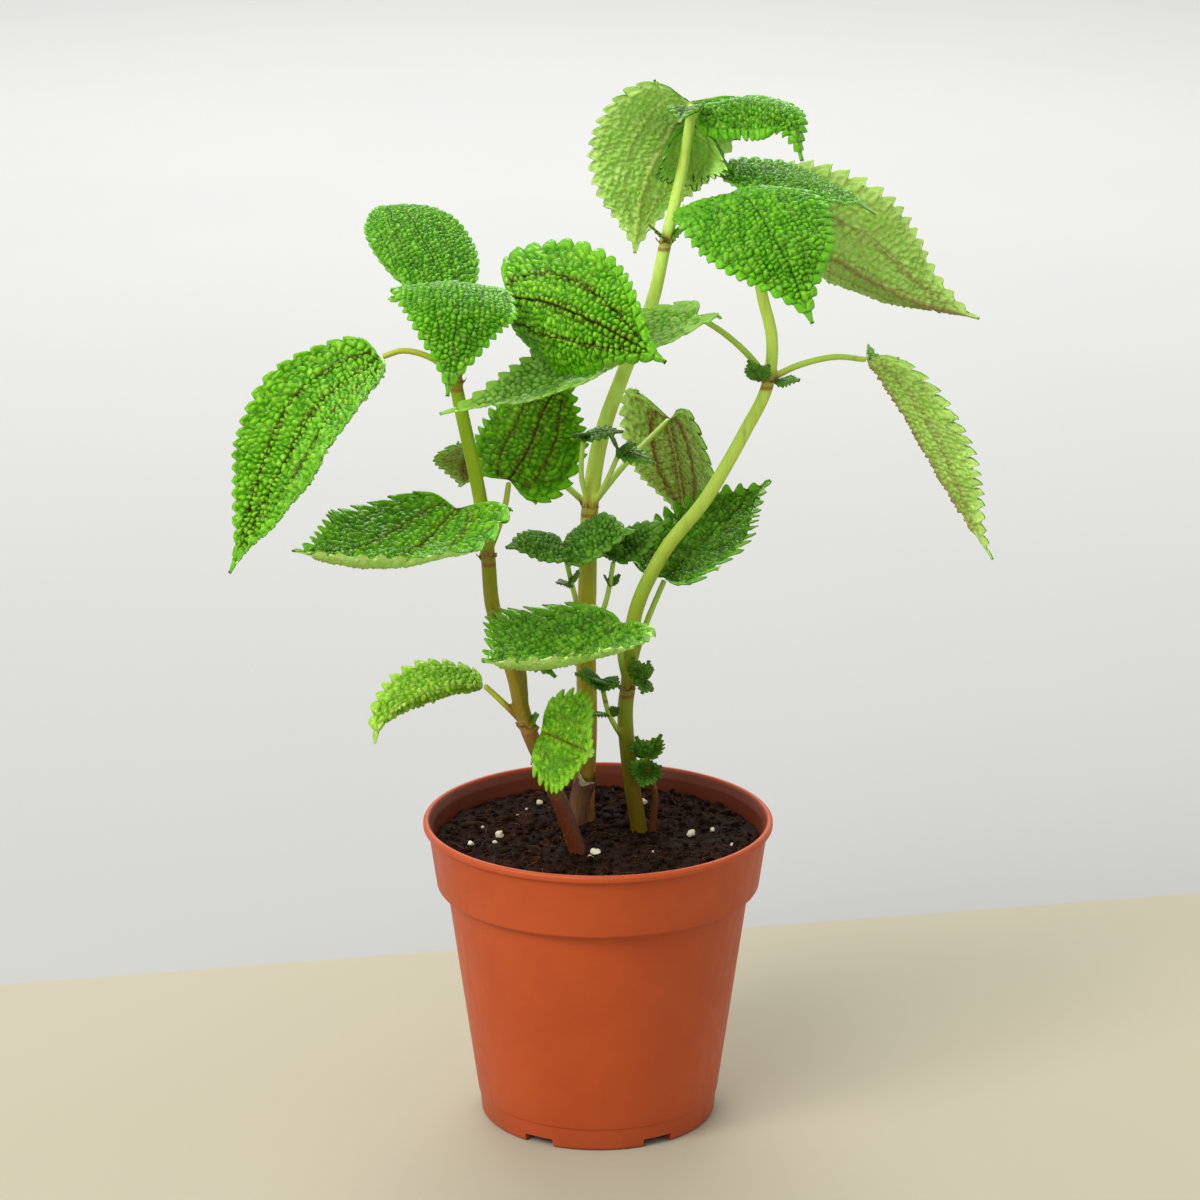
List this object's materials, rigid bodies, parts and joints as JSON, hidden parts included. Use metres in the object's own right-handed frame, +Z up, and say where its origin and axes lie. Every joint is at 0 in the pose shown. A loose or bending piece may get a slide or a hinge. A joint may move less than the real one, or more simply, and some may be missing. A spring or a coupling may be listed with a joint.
{
  "type": "potted houseplant",
  "caption": "Leafy pilea with puckered, toothed oval leaves on upright branching stems, rooted in dark soil in a round tapered plastic nursery pot with a banded rim.",
  "frame": {"origin": "centre of the pot's underside, on the surface that the pot stands on", "axes": "+Z up along the pot's axis; +X to the right and -Y towards the front as pictured"},
  "size_m": [0.2241, 0.134, 0.3139],
  "materials": {
    "pot_plastic": "satin",
    "peat": "matte",
    "stem_skin": "satin",
    "leaf_blade": "satin",
    "young_leaf": "matte"
  },
  "bodies": {
    "root": {"leaf_a1": "leaf_blade", "leaf_a2": "leaf_blade", "leaf_a3": "leaf_blade", "leaf_a4": "leaf_blade", "leaf_a5": "leaf_blade", "leaf_a6": "leaf_blade", "leaf_a7": "leaf_blade", "leaf_a8": "leaf_blade", "leaf_b1": "leaf_blade", "leaf_b2": "leaf_blade", "leaf_b3": "leaf_blade", "leaf_b4": "leaf_blade", "leaf_b5": "leaf_blade", "leaf_b6": "leaf_blade", "leaf_b7": "leaf_blade", "leaf_c1": "leaf_blade", "leaf_c2": "leaf_blade", "leaf_c3": "leaf_blade", "leaf_c4": "leaf_blade", "leaf_c5": "leaf_blade", "leaf_c6": "leaf_blade", "stem_a": "stem_skin", "stem_b": "stem_skin", "stem_c": "stem_skin", "stem_d": "stem_skin", "shoot_a_low": "young_leaf", "shoot_b_left": "young_leaf", "shoot_b_right": "young_leaf", "shoot_b_low_left": "young_leaf", "shoot_b_low_right": "young_leaf", "shoot_c_low_left": "young_leaf", "shoot_c_node": "young_leaf", "shoot_c_high_left": "young_leaf", "shoot_c_high_right": "young_leaf", "pot": "pot_plastic", "soil": "peat"}
  },
  "joints": []
}
